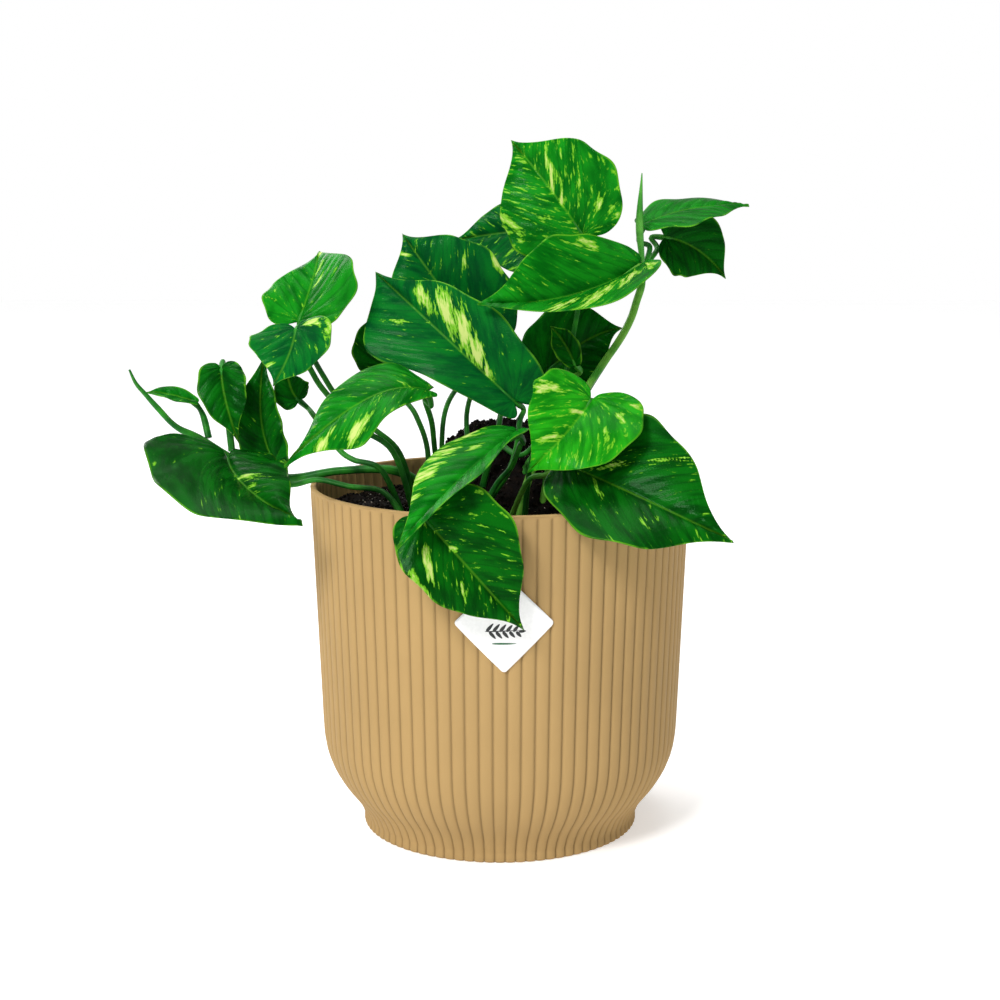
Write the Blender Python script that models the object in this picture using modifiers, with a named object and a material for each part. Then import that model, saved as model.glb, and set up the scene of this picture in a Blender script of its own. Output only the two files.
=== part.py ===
"""A potted pothos: a ribbed cover pot with a plain diamond sticker, potting soil, and a plant of
heart-shaped leaves on arching stalks, with one trailing vine.

Metres, +Z up. The origin is the centre of the pot's underside, on the surface it stands on, and the
sticker faces -Y. Plant points are in millimetres: x and y from the pot's axis, z above the rim.
"""
import math

import bmesh
import bpy
from mathutils import Vector
from mathutils.bvhtree import BVHTree

MM = 0.001
GAP = 0.3 * MM  # between pieces that touch

# Pot
POT_RADIUS = 69.5 * MM  # over the ribs, at the rim
POT_HEIGHT = 128 * MM
POT_TAPER = 0.039  # radius lost for each unit of height
POT_WALL = 2.0 * MM
POT_FLOOR = 3.0 * MM
LIP_HEIGHT = 1.6 * MM
LIP_ROUND = 0.6 * MM
RIB_COUNT = 86
RIB_DEPTH = 0.8 * MM
BOWL_HEIGHT = 36 * MM  # where the wall starts to curve in
BOWL_DROP = 14 * MM  # how far it has curved in at the foot
BOWL_CURVE = 2.1
FOOT_HEIGHT = 7 * MM
FOOT_FLARE = 0.8 * MM
FOOT_ROUND = 1.0 * MM

# Sticker
LABEL_SIDE = 24.4 * MM
LABEL_THICKNESS = 0.3 * MM
LABEL_HEIGHT = 91.0 * MM  # of its centre
LABEL_ASIDE = 1.4 * MM  # its centre, to the right of the pot's middle
LABEL_CORNER = 0.08  # share of the side cut off each corner

# Soil
SOIL_BELOW_RIM = 10 * MM
MOUND_HEIGHT = 28 * MM
MOUND_CENTRE = (5 * MM, 27 * MM)
MOUND_RADIUS = 32 * MM
SOIL_SIDES = 48

# Plant
PLANT_MM = POT_RADIUS / 69.5  # one millimetre of the plant, whose points were set for this rim
BLADE_THICKNESS = 0.8 * PLANT_MM
BLADE_ROWS = 9
BLADE_COLUMNS = 3  # on each side of the midrib
STALK_RADIUS = 1.0 * PLANT_MM  # at the leaf
STALK_SPREAD = 0.5 * PLANT_MM  # added by the time it reaches the soil
STALK_POINTS = 10
VINE_RADIUS = 1.5 * PLANT_MM

# Half a leaf's outline, from the notch at the stalk to the tip: share of length, share of half width.
HEART = ((0, 0), (-.06, .14), (-.10, .34), (-.075, .60), (.03, .83), (.17, .965), (.34, 1),
         (.52, .88), (.69, .63), (.83, .34), (.93, .12), (1, 0))
LANCE = ((0, 0), (-.02, .12), (-.025, .30), (.01, .50), (.09, .71), (.22, .90), (.40, 1),
         (.58, .92), (.74, .68), (.87, .38), (.95, .16), (1, 0))
DEEP = ((0, 0), (-.09, .12), (-.17, .30), (-.18, .52), (-.12, .75), (.01, .92), (.18, 1),
        (.38, .95), (.60, .73), (.79, .42), (.92, .15), (1, 0))
FULL = ((0, 0), (-.07, .15), (-.12, .38), (-.09, .64), (.02, .87), (.18, .98), (.36, 1),
        (.56, .95), (.74, .78), (.88, .50), (.96, .22), (1, 0))
BROAD = ((0, 0), (-.05, .12), (-.05, .21), (0, .30), (.12, .42), (.28, .56), (.46, .77),
         (.62, .97), (.74, 1), (.84, .68), (.92, .30), (1, 0))
NOTCH_POINTS = 2  # outline points that the first row of a blade runs along


class Leaf:
    """One leaf: its midrib runs base, mid, tip, its upper side looks along face, and its stalk runs
    from the blade through the via points to root. Half widths and fold (in degrees) are given on
    the left and the right, as seen from above with the tip away."""

    def __init__(self, name, base, mid, tip, face, half_widths, via, root, fold=(12, 12),
                 outline=(HEART, HEART), stalk=1.0):
        self.name = name
        self.midrib = [in_pot(point) for point in (base, mid, tip)]
        self.face = Vector(face).normalized()
        self.half_widths = [width * PLANT_MM for width in half_widths]
        self.via = [in_pot(point) for point in via]
        self.root = root
        self.fold = [math.radians(angle) for angle in fold]
        self.outline = outline
        self.stalk = stalk
        self.bend = 2 * self.midrib[1] - (self.midrib[0] + self.midrib[2]) / 2

    def spine(self, t):
        """The midrib's point and direction at a share of its length, straight on past the base."""
        base, tip = self.midrib[0], self.midrib[2]
        start = 2 * (self.bend - base)
        if t < 0:
            return base + start * t, start.normalized()
        point = base * (1 - t) ** 2 + self.bend * 2 * t * (1 - t) + tip * t * t
        return point, (start * (1 - t) + 2 * (tip - self.bend) * t).normalized()

    def frame(self, t):
        """The midrib's point and direction, the leaf's right-hand side and its upper side."""
        point, along = self.spine(t)
        side = along.cross(self.face).normalized()
        return point, along, side, side.cross(along)

    def surface(self, x, y):
        """The blade's point at a share of its length and of its half width, negative on the left."""
        point, _, side, up = self.frame(x)
        hand = 1 if y > 0 else 0
        out = self.half_widths[hand] * abs(y)
        sign = 1 if y > 0 else -1
        return point + out * (side * sign * math.cos(self.fold[hand]) + up * math.sin(self.fold[hand]))


def in_pot(point):
    """A plant point in the pot's frame. The plant keeps to the rim and grows with it."""
    return Vector((0, 0, POT_HEIGHT)) + Vector(point) * PLANT_MM


def smooth_path(points, t):
    """A point on the Catmull-Rom curve through the points, at a share of the way along them."""
    position = t * (len(points) - 1)
    i = min(int(position), len(points) - 2)
    f = position - i
    b, c = Vector(points[i]), Vector(points[i + 1])
    a = Vector(points[i - 1]) if i > 0 else 2 * b - c
    d = Vector(points[i + 2]) if i + 2 < len(points) else 2 * c - b
    return 0.5 * (2 * b + (c - a) * f + (2 * a - 5 * b + 4 * c - d) * f ** 2
                  + (3 * b - a - 3 * c + d) * f ** 3)


LEAVES = (
    Leaf("top", (30, 6, 90), (17, 11, 108), (4, 20, 124), (-.5, -1, .3), (23, 24),
         [(31, 14, 80), (28, 4, 60), (21, -7, 31), (9, -11, 12)], (-2, 6), fold=(10, 8)),
    Leaf("upper_right", (51, 3, 79), (23, -18, 69), (-8, -25, 67), (0, -1, .35), (22, 22),
         [(51.7, 5, 72), (50, 5, 66), (47.8, 4, 59.4), (43.7, 2, 52), (36.5, -1, 42), (25, -9, 26),
          (14, -14, 12)], (7, -17), fold=(60, 6), outline=(LANCE, LANCE), stalk=1.5),
    Leaf("far_right", (53, 22, 93), (71, 27, 99), (94, 34, 100), (-.2, -.1, 1), (15, 15),
         [(55.5, 19, 85), (53, 15.5, 77), (51.5, 13, 69.5), (48.4, 12, 59), (44, 10, 51.5), (35, 5, 38.5),
          (23, 1, 22)], (10, -1), fold=(12, -15), outline=(LANCE, LANCE)),
    Leaf("far_right_rear", (63, 40, 88), (76, 43, 83), (87, 44, 72), (.1, -1, .2), (14, 14),
         [(60, 40, 83.5), (55, 32, 77), (52, 24, 68), (49.3, 20, 59), (44.7, 17, 51), (36, 12, 38),
          (25, 8, 22)], (14, 6)),
    Leaf("centre_rear", (-8, 10, 52), (-24, 8, 74), (-36, 16, 90), (-.1, -1, .3), (20, 23),
         [(-11, 12, 40), (-19, 0, 29), (-21, -7, 15)], (-20, -2)),
    Leaf("centre", (5, -25, 33), (-22, -15, 57), (-45, 0, 77), (-.2, -.94, .28), (23, 19),
         [(7, -25, 26), (6, -24, 17), (3, -20, 7)], (-4, -12), outline=(BROAD, HEART)),
    Leaf("top_rear", (22, 28, 92), (2, 32, 90), (-18, 34, 87), (-.1, -1, .3), (17, 12),
         [(14, 32, 76), (1, 24, 55), (-11, 8, 30), (-12, 0, 16)], (-12, 4)),
    Leaf("centre_left_rear", (-42, 6, 42), (-44, 8, 52), (-44, 10, 64), (0, -1, .3), (11, 11),
         [(-40, 5, 35), (-34, -3, 30), (-30, -8, 25), (-26, -12, 13)], (-26, -14)),
    Leaf("left_high", (-72, -9, 60), (-68, -1, 73), (-66, 10, 84), (-.6, -1, .2), (17, 25),
         [(-69, -1, 48), (-64, -5, 40), (-58, -9, 32), (-46, -12, 22), (-36, -10, 12)], (-31, -6)),
    Leaf("left_mid", (-72, -19, 58), (-74, -26, 49), (-79, -31, 39), (-.4, -1, .4), (17, 16),
         [(-70, -14, 49), (-67, -14, 42), (-62, -17, 35), (-50, -20, 23), (-38, -20, 14)], (-31, -18)),
    Leaf("left_rear", (-74, 3, 30), (-77, 4, 35), (-78, 5, 42), (0, -1, .1), (7, 7),
         [(-68, -2, 25), (-59, -8, 14), (-53, -11, 10), (-43, -14, 7)], (-36, -14)),
    Leaf("left_upright", (-82, -6, 8), (-87, -4, 26), (-85, 2, 49), (-.3, -1, .1), (10, 9),
         [], (-79, -.3, 2.2)),
    Leaf("left_low", (-98, -14, 11), (-88, -34, 3), (-67, -54, -6), (.3, -.6, .7), (18, 33),
         [(-94, -10, 5), (-77, -12, 1), (-66, -13, 3), (-54, -16, 1), (-42, -21, 0)], (-35, -26),
         outline=(HEART, FULL)),
    Leaf("left_small", (-100, -10, 43), (-98, -15, 32), (-93, -19, 17), (0, -1, .2), (9, 9),
         [(-99, -5, 28)], (-98, -2.9, 12)),
    Leaf("left_narrow", (-110, -5, 30), (-119, -6, 33), (-128, -7, 34), (0, -.6, 1), (4, 4),
         [], (-106, -4.8, 17.1), outline=(LANCE, LANCE)),
    Leaf("left_arching", (-25, -37, 38), (-46, -47, 36), (-73, -55, 14), (-.2, -.35, 1), (17, 16),
         [(-26, -32, 34), (-24, -24, 25), (-23, -16, 12)], (-20, -14), fold=(-15, 12),
         outline=(BROAD, HEART)),
    Leaf("front_folded", (6, -50, 25), (-12, -73, 14), (-33, -90, -7), (-.5, -1, .8), (11, 15),
         [(7, -43, 20), (4, -34, 11), (-1, -22, 3)], (-6, -18), fold=(35, 5), outline=(LANCE, LANCE)),
    Leaf("front_hanging", (-25, -74, 0), (-9, -79, -17), (8, -77, -37), (0, -1, .3), (22, 17),
         [(-24, -72, 4), (-20, -62, 6), (-14, -40, 3)], (-12, -26)),
    Leaf("right_low", (22, -46, 14), (47, -62, 5), (77, -74, -8), (0, -1, .8), (27, 24),
         [(16, -40, 9), (10, -34, 6)], (4, -26), outline=(HEART, LANCE)),
    Leaf("front_right", (31, -46, 36), (22, -58, 26), (9, -60, 13), (0, -1, .5), (21, 19),
         [(24, -42, 29), (15, -37, 22), (11, -30, 12)], (9, -21), outline=(DEEP, DEEP)),
    Leaf("right_rear", (17, 4, 40), (31, 8, 51), (45, 8, 56), (0, -1, .3), (17, 14),
         [(9, 6, 34), (1, -2, 27), (-1, -8, 18)], (-6, -4)),
    Leaf("young", (27, -10, 44), (23, -10, 52), (18, -8, 58), (-.3, -1, .2), (5, 5),
         [(26, -3, 38), (22, -2, 28), (19, -5, 14)], (16, -8), outline=(LANCE, LANCE)),
)

VINE = ((-25, 3), [(-38, 0, 4), (-59, 1, 4), (-79, 2, 1), (-95, 0, 7), (-109, -7, 17),
                   (-117, -10, 22), (-123, -12, 29), (-127, -13, 34), (-130, -14, 38), (-132, -15, 43)])
SPEAR = [(52.3, 14.5, 80), (50.9, 12, 94), (51.6, 11, 112)]
SPEAR_RADIUS = 1.5 * PLANT_MM


def add_object(collection, name, mesh, colour, roughness, smooth_angle=40):
    material = bpy.data.materials.new(name)
    material.use_nodes = True
    shader = material.node_tree.nodes["Principled BSDF"]
    shader.inputs["Base Color"].default_value = (*colour, 1)
    shader.inputs["Roughness"].default_value = roughness
    mesh.materials.clear()
    mesh.materials.append(material)
    obj = bpy.data.objects.new(name, mesh)
    collection.objects.link(obj)
    if isinstance(mesh, bpy.types.Mesh):
        mesh.shade_smooth()
        mesh.set_sharp_from_angle(angle=math.radians(smooth_angle))
    return obj


def turned(profile, steps):
    """A profile of radius and height, turned about Z with a Screw modifier, as a mesh."""
    mesh = bpy.data.meshes.new("profile")
    points = [(radius, 0, height) for radius, height in profile]
    mesh.from_pydata(points, [(i, i + 1) for i in range(len(points) - 1)], [])
    obj = bpy.data.objects.new("profile", mesh)
    bpy.context.scene.collection.objects.link(obj)
    screw = obj.modifiers.new("turn", "SCREW")
    screw.steps = screw.render_steps = steps
    screw.use_merge_vertices = True
    screw.merge_threshold = 0.00001
    bpy.context.view_layer.update()
    solid = bpy.data.meshes.new_from_object(obj.evaluated_get(bpy.context.evaluated_depsgraph_get()))
    bpy.data.objects.remove(obj)
    bpy.data.meshes.remove(mesh)
    return solid


def body_radius(height):
    """The pot's outer radius over its ribs: a straight taper, curving in below the bowl's height."""
    radius = POT_RADIUS - POT_TAPER * (POT_HEIGHT - height)
    if height < BOWL_HEIGHT:
        share = (BOWL_HEIGHT - height) / (BOWL_HEIGHT - FOOT_HEIGHT)
        radius -= BOWL_DROP * min(share, 1) ** BOWL_CURVE
    if height < FOOT_HEIGHT:
        radius += FOOT_FLARE * (1 - height / FOOT_HEIGHT)
    return radius


def inner_radius(height):
    return body_radius(max(height, FOOT_HEIGHT)) - POT_WALL


def inner_wall():
    """The plain inside wall, from the floor to the lip, as radius and height."""
    span = BOWL_HEIGHT - FOOT_HEIGHT
    heights = (FOOT_HEIGHT + POT_FLOOR, FOOT_HEIGHT + span * .4, FOOT_HEIGHT + span * .8,
               POT_HEIGHT - SOIL_BELOW_RIM, POT_HEIGHT - LIP_HEIGHT)
    return [(inner_radius(height), height) for height in heights]


def build_pot(collection):
    bowl = [FOOT_HEIGHT + (BOWL_HEIGHT - FOOT_HEIGHT) * share for share in (1, .8, .6, .42, .26, .12, 0)]
    plain_top = POT_HEIGHT - LIP_HEIGHT
    top = body_radius(POT_HEIGHT)
    inner = inner_wall()
    lip = [(top - POT_WALL, POT_HEIGHT - LIP_ROUND), (top - POT_WALL + LIP_ROUND, POT_HEIGHT),
           (top - LIP_ROUND, POT_HEIGHT), (top, POT_HEIGHT - LIP_ROUND), (top, plain_top)]
    outer = [(body_radius(z), z) for z in (plain_top - LIP_HEIGHT, *bowl)]
    foot = body_radius(0)
    base = [(foot, FOOT_ROUND), (foot - FOOT_ROUND, 0), (0, 0)]
    profile = [(0, FOOT_HEIGHT + POT_FLOOR), *inner, *lip, *outer, *base]
    mesh = turned(profile, 2 * RIB_COUNT)
    for vertex in mesh.vertices:
        x, y, z = vertex.co
        radius = math.hypot(x, y)
        if z > plain_top - 0.01 * MM or radius < inner_radius(FOOT_HEIGHT) - 0.01 * MM and z > 0:
            continue
        if radius > 0.01 * MM:
            wave = 0.5 - 0.5 * math.cos(RIB_COUNT * math.atan2(y, x))
            vertex.co.xy *= 1 - RIB_DEPTH * wave / radius
    return add_object(collection, "pot", mesh, (.62, .42, .20), .55)


def build_label(collection):
    """A diamond that follows the front of the pot, a gap clear of its ribs."""
    bm = bmesh.new()
    bmesh.ops.create_grid(bm, x_segments=8, y_segments=8, size=LABEL_SIDE / 2)
    corner = LABEL_SIDE / 2
    for vertex in bm.verts:
        a, b = vertex.co.x, vertex.co.y
        if abs(abs(a) - corner) < 1e-6 and abs(abs(b) - corner) < 1e-6:
            a *= 1 - LABEL_CORNER
            b *= 1 - LABEL_CORNER
        along = LABEL_ASIDE + (a + b) / math.sqrt(2)
        height = LABEL_HEIGHT + (b - a) / math.sqrt(2)
        radius = body_radius(height) + GAP
        angle = along / radius
        vertex.co = (radius * math.sin(angle), -radius * math.cos(angle), height)
    mesh = bpy.data.meshes.new("pot_label")
    bmesh.ops.recalc_face_normals(bm, faces=bm.faces)
    bm.to_mesh(mesh)
    bm.free()
    obj = add_object(collection, "pot_label", mesh, (.9, .9, .88), .4)
    face_out = -1 if mesh.polygons[0].normal.y > 0 else 1
    shell = obj.modifiers.new("thickness", "SOLIDIFY")
    shell.thickness = LABEL_THICKNESS
    shell.offset = face_out
    return obj


def soil_rise(x, y):
    """How far the soil is heaped over its level: the clod round the roots, and gentle lumps."""
    away = math.hypot(x - MOUND_CENTRE[0], y - MOUND_CENTRE[1]) / MOUND_RADIUS
    lumps = 0.7 * MM * math.sin(x / (8 * MM) + 1) * math.cos(y / (10 * MM))
    return MOUND_HEIGHT * math.exp(-away ** 4) + lumps


def build_soil(collection):
    level = POT_HEIGHT - SOIL_BELOW_RIM
    clear = RIB_DEPTH + GAP
    wall = [(radius - clear, height) for radius, height in reversed(inner_wall()[:-1])]
    wall[-1] = (wall[-1][0], wall[-1][1] + GAP)
    edge = wall[0][0]
    top = [(edge * share / 11, level) for share in range(11)]
    mesh = turned([*top, *wall, (0, wall[-1][1])], SOIL_SIDES)
    for vertex in mesh.vertices:
        x, y, z = vertex.co
        if z > level - 0.01 * MM and math.hypot(x, y) < edge - 0.01 * MM:
            vertex.co.z = level + soil_rise(x, y)
    return add_object(collection, "soil", mesh, (.02, .014, .01), .95, 60)


def half_rows(outline):
    """Rows across one half of a flat blade, each from the midrib to the edge, without the tip."""
    outline = [(*point, 0) for point in outline]
    notch = NOTCH_POINTS / (len(outline) - 1)
    lobe = smooth_path(outline, notch)
    rows = []
    for i in range(BLADE_ROWS):
        u = i / BLADE_ROWS
        edge = smooth_path(outline, notch + (1 - notch) * u)
        row = []
        for j in range(BLADE_COLUMNS + 1):
            v = j / BLADE_COLUMNS
            around = smooth_path(outline, notch * v) - lobe * v
            point = Vector((u, 0, 0)).lerp(edge, v) + around * (1 - u) ** 4
            row.append((point.x, point.y))
        rows.append(row)
    return rows


def build_blade(collection, leaf):
    bm = bmesh.new()
    grid = []
    for left_row, right_row in zip(half_rows(leaf.outline[0]), half_rows(leaf.outline[1])):
        left = [leaf.surface(x, -y) for x, y in reversed(left_row[1:])]
        right = [leaf.surface(x, y) for x, y in right_row]
        grid.append([bm.verts.new(point) for point in left + right])
    tip = bm.verts.new(leaf.surface(1, 0))
    for near, far in zip(grid, grid[1:]):
        for j in range(2 * BLADE_COLUMNS):
            bm.faces.new((near[j], near[j + 1], far[j + 1], far[j]))
    for j in range(2 * BLADE_COLUMNS):
        bm.faces.new((grid[-1][j], grid[-1][j + 1], tip))
    mesh = bpy.data.meshes.new("leaf_" + leaf.name)
    bm.to_mesh(mesh)
    bm.free()
    obj = add_object(collection, "leaf_" + leaf.name, mesh, (.02, .20, .02), .35, 70)
    shell = obj.modifiers.new("thickness", "SOLIDIFY")
    shell.thickness = BLADE_THICKNESS
    shell.offset = 0
    return obj


def on_soil(surface, x, y, radius):
    """A stalk's foot: just over the soil's surface at a point given in plant millimetres."""
    place = in_pot((x, y, 0))
    hit, normal = surface.ray_cast(place + Vector((0, 0, 1)), Vector((0, 0, -1)))[:2]
    return hit + normal * (GAP + radius)


def tube(collection, name, points, radii, count, colour):
    """A tapered stem along a smooth curve through the points."""
    curve = bpy.data.curves.new(name, "CURVE")
    curve.dimensions = "3D"
    curve.bevel_depth = 1
    curve.bevel_resolution = 1
    curve.use_fill_caps = True
    spline = curve.splines.new("POLY")
    spline.points.add(count - 1)
    for i, point in enumerate(spline.points):
        t = i / (count - 1)
        point.co = (*smooth_path(points, t), 1)
        point.radius = radii[0] + (radii[1] - radii[0]) * t
    return add_object(collection, name, curve, colour, .4)


def build_stalk(collection, leaf, surface):
    """The stalk meets the blade from below, at the notch between its lobes."""
    radius = STALK_RADIUS * leaf.stalk
    point, along, _, up = leaf.frame(0)
    end = point - up * (BLADE_THICKNESS / 2 + GAP + radius)
    bend = end - along * 4 * PLANT_MM - up * 3 * PLANT_MM
    if len(leaf.root) == 3:
        foot = in_pot(leaf.root)
    else:
        foot = on_soil(surface, *leaf.root, radius + STALK_SPREAD)
    path = [end, bend, *leaf.via, foot]
    return tube(collection, "stalk_" + leaf.name, path, (radius, radius + STALK_SPREAD),
                STALK_POINTS, (.05, .30, .03))


def build_vine(collection, surface):
    root, via = VINE
    path = [on_soil(surface, *root, VINE_RADIUS), *[in_pot(point) for point in via]]
    return tube(collection, "vine", path, (VINE_RADIUS, 0.4 * VINE_RADIUS), 18, (.04, .26, .03))


def main():
    for obj in list(bpy.data.objects):
        bpy.data.objects.remove(obj)
    collection = bpy.data.collections.new("potted_pothos")
    bpy.context.scene.collection.children.link(collection)
    build_pot(collection)
    build_label(collection)
    soil = build_soil(collection)
    bpy.context.view_layer.update()
    surface = BVHTree.FromObject(soil, bpy.context.evaluated_depsgraph_get())
    for leaf in LEAVES:
        build_blade(collection, leaf)
        build_stalk(collection, leaf, surface)
    build_vine(collection, surface)
    tube(collection, "leaf_spear", [in_pot(point) for point in SPEAR], (SPEAR_RADIUS, 0.2 * SPEAR_RADIUS),
         6, (.10, .38, .05))


main()
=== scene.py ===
"""Looks for the potted pothos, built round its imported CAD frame.

Metres, +Z up, in the CAD part's frame: the origin is the centre of the pot's underside, and the
sticker faces -Y. Plant points are in millimetres: x and y from the pot's axis, z above the rim.
"""

import itertools
import math

import bpy
import numpy as np
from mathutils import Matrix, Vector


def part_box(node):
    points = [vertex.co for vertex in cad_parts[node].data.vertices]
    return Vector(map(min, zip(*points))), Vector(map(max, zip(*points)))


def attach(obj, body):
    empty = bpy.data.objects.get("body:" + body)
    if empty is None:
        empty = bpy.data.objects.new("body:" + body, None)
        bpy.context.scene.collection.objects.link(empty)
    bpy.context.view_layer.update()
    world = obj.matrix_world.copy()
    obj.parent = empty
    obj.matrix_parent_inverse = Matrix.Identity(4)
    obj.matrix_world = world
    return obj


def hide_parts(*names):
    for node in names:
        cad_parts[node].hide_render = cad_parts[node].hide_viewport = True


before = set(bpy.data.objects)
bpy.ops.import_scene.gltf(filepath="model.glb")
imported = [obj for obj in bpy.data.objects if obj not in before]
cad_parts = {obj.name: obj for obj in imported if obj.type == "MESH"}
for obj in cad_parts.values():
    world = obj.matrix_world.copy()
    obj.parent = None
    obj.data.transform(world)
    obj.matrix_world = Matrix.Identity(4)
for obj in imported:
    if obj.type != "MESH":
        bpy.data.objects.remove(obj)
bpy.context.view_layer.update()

MM = 0.001
RANDOM = np.random.default_rng(7)

# Pot: the CAD part's sizes, but for a lower lip and a softer crease over the foot
POT_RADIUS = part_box("pot")[1].x
POT_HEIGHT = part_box("pot")[1].z
POT_TAPER = 0.039  # how far the wall leans in for each metre down
POT_WALL = 2.0 * MM
POT_FLOOR = 3.0 * MM
LIP_HEIGHT = 1.0 * MM
LIP_ROUND = 0.55 * MM
LIP_STEPS = 9
UNDERSIDE_RISE = 0.4 * MM  # how far the middle of the underside stands clear
FLOOR_RADIUS = 40 * MM  # where the floor inside meets the wall's curve
RIB_COUNT = 86
RIB_DEPTH = 0.8 * MM
RIB_STEPS = 12  # round each rib
BOWL_HEIGHT = 36 * MM  # where the wall starts to curve in
BOWL_DROP = 14 * MM  # how far it has curved in at the foot
BOWL_CURVE = 2.1
FOOT_HEIGHT = 7 * MM
FOOT_FLARE = 0.8 * MM
FOOT_SOFTNESS = 5 * MM  # reach of the smoothing over the foot

# Sticker
LABEL_SIDE = 24.4 * MM
LABEL_HEIGHT = 91.0 * MM
LABEL_ASIDE = 1.4 * MM  # its centre, to the right of the pot's middle
LABEL_CORNER = 1.3 * MM
CORNER_POINTS = 8
SIDE_POINTS = 12
LABEL_CLEARANCE = 0.3 * MM
LABEL_THICKNESS = 0.25 * MM
SPRIG_PROUD = 0.06 * MM
SPRIG_MM = {"start": (-6.6, -2.6), "length": 12.0, "pairs": 5}
LINE_MM = {"start": (-4.2, -6.8), "degrees": 0, "length": 8.4, "half_width": 0.42}

# Soil
SOIL_LEVEL = POT_HEIGHT - 10 * MM
SOIL_CLEARANCE = 1.1 * MM
MOUND_HEIGHT = 28 * MM
MOUND_CENTRE = (5 * MM, 27 * MM)
MOUND_RADIUS = 32 * MM
SOIL_STEPS = 320
SOIL_RINGS = 110
SOIL_WALL_ROWS = 13
CRUMBS = 5200
CRUMB_SIZES = (0.35 * MM, 1.15 * MM)
SPECKS = 900
SPECK_SIZES = (0.16 * MM, 0.38 * MM)

# Leaves
BLADE_ROWS = 84
BLADE_COLUMNS = 26  # on each side of the midrib
BLADE_MM = 0.38  # its thickness by the midrib
MIDRIB_MM = 0.55  # how far the midrib stands out below the blade
VEIN_SLANT = 0.95  # how fast the side veins run forward as they run out
VEIN_CURVE = 0.018
VEIN_PITCH_MM = 5.2
VEIN_GROOVE_MM = 0.26
TIP_PINCH = 0.42  # share of the half width lost at the tip
EDGE_WAVE = 0.028  # share of the half width
EDGE_WAVES = 3.1  # along a leaf
LOBE_PITCH_MM = -14  # vein distance for each radian round a lobe
VEIN_RUN = 1.5  # a side vein's length for each millimetre outward
RIPPLE_MM = 0.05
RIPPLES = 2.5  # to each side vein
MIDRIB_DIP_MM = 0.35  # of the upper side along the midrib
WHOLE_LEAF_MM = 50  # a shorter leaf has less crown and wave
TIP_START = 0.66  # share of length where the outline starts to pinch in
TIP_REACH = 0.30

# Stems, in millimetres
STALK_SIDES = 14
FOOT_DEPTH = 5  # of a stalk's end below the soil
FOOT_RISE = 1.5  # above the soil, where a stalk has turned down
# Radii down a stalk, for a leaf whose stalk size is 1
STALK_PROFILE = {"under blade": 0.35, "at blade": 1.15, "bend": 0.95, "middle": 1.05, "low": 1.25}
FOOT_RADIUS = {"vine": 1.3, "soil": 1.7}
VINE_RADII = [2.0, 1.9, 1.7, 1.5, 1.75, 1.4, 1.5, 1.1, 1.05, 0.85, 0.7, 0.4]
SPEAR_RADII = [1.05, 1.5, 0.225]

# Camera and floor
CAMERA_PLACE = (0, -0.668, 0.238)
CAMERA_DOWN = 0.173  # radians below level
CAMERA_LENS = 66.2
SENSOR_WIDTH = 36
FLOOR_SIZE = 6

# Half a leaf's outline from the notch at the stalk to the tip, as shares of length and half width
HEART = ((0, 0), (-.06, .14), (-.10, .34), (-.075, .60), (.03, .83), (.17, .965), (.34, 1),
         (.52, .88), (.69, .63), (.83, .34), (.93, .12), (1, 0))
LANCE = ((0, 0), (-.02, .12), (-.025, .30), (.01, .50), (.09, .71), (.22, .90), (.40, 1),
         (.58, .92), (.74, .68), (.87, .38), (.95, .16), (1, 0))
DEEP = ((0, 0), (-.09, .12), (-.17, .30), (-.18, .52), (-.12, .75), (.01, .92), (.18, 1),
        (.38, .95), (.60, .73), (.79, .42), (.92, .15), (1, 0))
FULL = ((0, 0), (-.07, .15), (-.12, .38), (-.09, .64), (.02, .87), (.18, .98), (.36, 1),
        (.56, .95), (.74, .78), (.88, .50), (.96, .22), (1, 0))
BROAD = ((0, 0), (-.05, .12), (-.05, .21), (0, .30), (.12, .42), (.28, .56), (.46, .77),
         (.62, .97), (.74, 1), (.84, .68), (.92, .30), (1, 0))
NOTCH_POINTS = 2  # outline points that the first row of a blade runs along

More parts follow.
